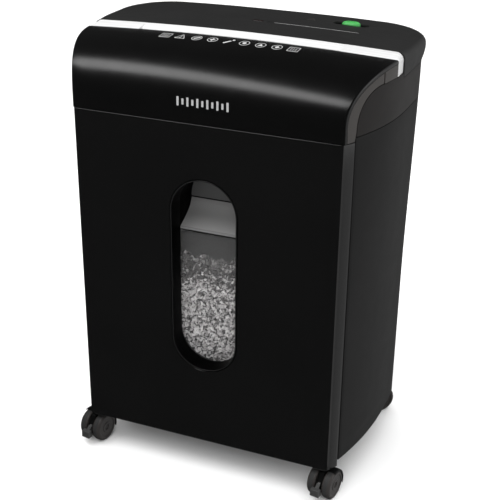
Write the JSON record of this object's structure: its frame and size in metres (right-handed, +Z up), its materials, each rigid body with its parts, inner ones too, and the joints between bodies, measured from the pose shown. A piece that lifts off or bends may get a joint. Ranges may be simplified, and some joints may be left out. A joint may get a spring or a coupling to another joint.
{
  "type": "paper shredder",
  "caption": "Upright shredder on casters with a pull-out waste bin, a front window with a finger pocket, a rolled cutter head with a paper slot, and a lid with a card slot.",
  "frame": {"origin": "middle of the footprint's bounding box, on the floor under the casters", "axes": "+X to the right of someone facing the front, +Y to the back, +Z up; the front faces -Y"},
  "size_m": [0.357, 0.241, 0.4897],
  "materials": {
    "gloss_black": "high gloss moulded",
    "satin_black": "satin moulded",
    "matte_black": "fine-grained moulded",
    "silver_paint": "brushed silver film",
    "switch_green": "satin moulded",
    "smoked_clear": "clear, lightly smoked",
    "caster_nylon": "satin moulded",
    "gear_white": "natural moulded",
    "steel": "turned and pressed",
    "bronze": "sintered",
    "board_green": "solder mask",
    "dark_lens": "tinted lens"
  },
  "bodies": {
    "cabinet": {"base_frame": "matte_black", "base_screw_1": "steel", "base_screw_2": "steel", "base_screw_3": "steel", "base_screw_4": "steel", "board_capacitor": "satin_black", "bushing_front_left": "bronze", "bushing_front_right": "bronze", "bushing_rear_left": "bronze", "bushing_rear_right": "bronze", "cabinet_shell": "satin_black", "card_chute": "satin_black", "control_board": "board_green", "cord_inlet": "satin_black", "front_hood": "gloss_black", "head_skirt": "matte_black", "head_tray": "satin_black", "indicator_lens": "dark_lens", "interlock_switch": "satin_black", "motor": "steel", "motor_cradle": "satin_black", "paper_guide": "satin_black", "shoulder_left": "satin_black", "shoulder_right": "satin_black", "side_plate_left": "steel", "side_plate_right": "steel", "silver_trim": "silver_paint", "stripper_front": "steel", "stripper_rear": "steel", "switch_bezel": "satin_black", "switch_body": "satin_black", "tie_rod": "steel", "top_cover": "matte_black"},
    "bin": {"bin_bracket_left": "matte_black", "bin_bracket_right": "matte_black", "bin_front_panel": "gloss_black", "bin_tub": "matte_black", "window_frame": "gloss_black", "window_pane": "smoked_clear"},
    "switch_knob": {"slide_switch": "switch_green"},
    "cutter_rear": {"cutter_shaft_rear": "steel", "sync_gear_rear": "steel", "drive_gear": "steel"},
    "cutter_front": {"cutter_shaft_front": "steel", "sync_gear_front": "steel"},
    "counter_gear": {"reduction_gear": "gear_white"},
    "motor_rotor": {"motor_pinion": "steel"},
    "interlock_pin": {"interlock_plunger": "gear_white"},
    "sensor_lever": {"paper_sensor_lever": "gear_white"},
    "caster_front_right": {"caster_housing_front_right": "caster_nylon"},
    "wheels_front_right": {"caster_wheels_front_right": "caster_nylon"},
    "brake_front_right": {"caster_brake_front_right": "caster_nylon"},
    "caster_rear_right": {"caster_housing_rear_right": "caster_nylon"},
    "wheels_rear_right": {"caster_wheels_rear_right": "caster_nylon"},
    "caster_front_left": {"caster_housing_front_left": "caster_nylon"},
    "wheels_front_left": {"caster_wheels_front_left": "caster_nylon"},
    "brake_front_left": {"caster_brake_front_left": "caster_nylon"},
    "caster_rear_left": {"caster_housing_rear_left": "caster_nylon"},
    "wheels_rear_left": {"caster_wheels_rear_left": "caster_nylon"}
  },
  "joints": [
    {"name": "bin_slide", "type": "slide", "parent": "cabinet", "child": "bin", "axis": [0, -1, 0], "range_m": [0, 0.2]},
    {"name": "switch_slide", "type": "slide", "parent": "cabinet", "child": "switch_knob", "axis": [1, 0, 0], "range_m": [-0.006, 0.006]},
    {"name": "cutter_rear_spin", "type": "hinge", "parent": "cabinet", "child": "cutter_rear", "pos_m": [0, 0.0204, 0.428], "axis": [1, 0, 0], "continuous": true},
    {"name": "cutter_front_spin", "type": "hinge", "parent": "cabinet", "child": "cutter_front", "pos_m": [0, -0.0096, 0.428], "axis": [1, 0, 0], "continuous": true},
    {"name": "counter_gear_spin", "type": "hinge", "parent": "cabinet", "child": "counter_gear", "pos_m": [0, 0.03883, 0.4409], "axis": [1, 0, 0], "continuous": true},
    {"name": "motor_rotor_spin", "type": "hinge", "parent": "cabinet", "child": "motor_rotor", "pos_m": [0, 0.06514, 0.45048], "axis": [1, 0, 0], "continuous": true},
    {"name": "interlock_slide", "type": "slide", "parent": "cabinet", "child": "interlock_pin", "axis": [0, 1, 0], "range_m": [0, 0.003], "stiffness_N_per_m": 100},
    {"name": "sensor_lever_hinge", "type": "hinge", "parent": "cabinet", "child": "sensor_lever", "pos_m": [0, -0.0096, 0.468], "axis": [1, 0, 0], "range_deg": [0, 18], "stiffness_Nm_per_rad": 0.002},
    {"name": "caster_swivel_front_right", "type": "hinge", "parent": "cabinet", "child": "caster_front_right", "pos_m": [0.1435, -0.0836, 0.0355], "axis": [0, 0, 1], "continuous": true},
    {"name": "wheel_spin_front_right", "type": "hinge", "parent": "caster_front_right", "child": "wheels_front_right", "pos_m": [0.14142, -0.09542, 0.017], "axis": [-0.9848, 0.1736, 0], "continuous": true},
    {"name": "brake_hinge_front_right", "type": "hinge", "parent": "caster_front_right", "child": "brake_front_right", "pos_m": [0.13959, -0.10578, 0.02083], "axis": [-0.9848, 0.1736, 0], "range_deg": [-8, 0]},
    {"name": "caster_swivel_rear_right", "type": "hinge", "parent": "cabinet", "child": "caster_rear_right", "pos_m": [0.137, 0.0924, 0.0355], "axis": [0, 0, 1], "continuous": true},
    {"name": "wheel_spin_rear_right", "type": "hinge", "parent": "caster_rear_right", "child": "wheels_rear_right", "pos_m": [0.14592, 0.10043, 0.017], "axis": [0.6691, -0.7431, 0], "continuous": true},
    {"name": "caster_swivel_front_left", "type": "hinge", "parent": "cabinet", "child": "caster_front_left", "pos_m": [-0.1435, -0.0836, 0.0355], "axis": [0, 0, 1], "continuous": true},
    {"name": "wheel_spin_front_left", "type": "hinge", "parent": "caster_front_left", "child": "wheels_front_left", "pos_m": [-0.14558, -0.09542, 0.017], "axis": [-0.9848, 0.1736, 0], "continuous": true},
    {"name": "brake_hinge_front_left", "type": "hinge", "parent": "caster_front_left", "child": "brake_front_left", "pos_m": [-0.14741, -0.10578, 0.02083], "axis": [-0.9848, 0.1736, 0], "range_deg": [-8, 0]},
    {"name": "caster_swivel_rear_left", "type": "hinge", "parent": "cabinet", "child": "caster_rear_left", "pos_m": [-0.137, 0.0924, 0.0355], "axis": [0, 0, 1], "continuous": true},
    {"name": "wheel_spin_rear_left", "type": "hinge", "parent": "caster_rear_left", "child": "wheels_rear_left", "pos_m": [-0.12808, 0.10043, 0.017], "axis": [0.6691, -0.7431, 0], "continuous": true}
  ],
  "couplings": [
    {"joint": "cutter_front_spin", "follows": "cutter_rear_spin", "ratio": -1},
    {"joint": "counter_gear_spin", "follows": "cutter_rear_spin", "ratio": -2},
    {"joint": "motor_rotor_spin", "follows": "cutter_rear_spin", "ratio": 6}
  ]
}
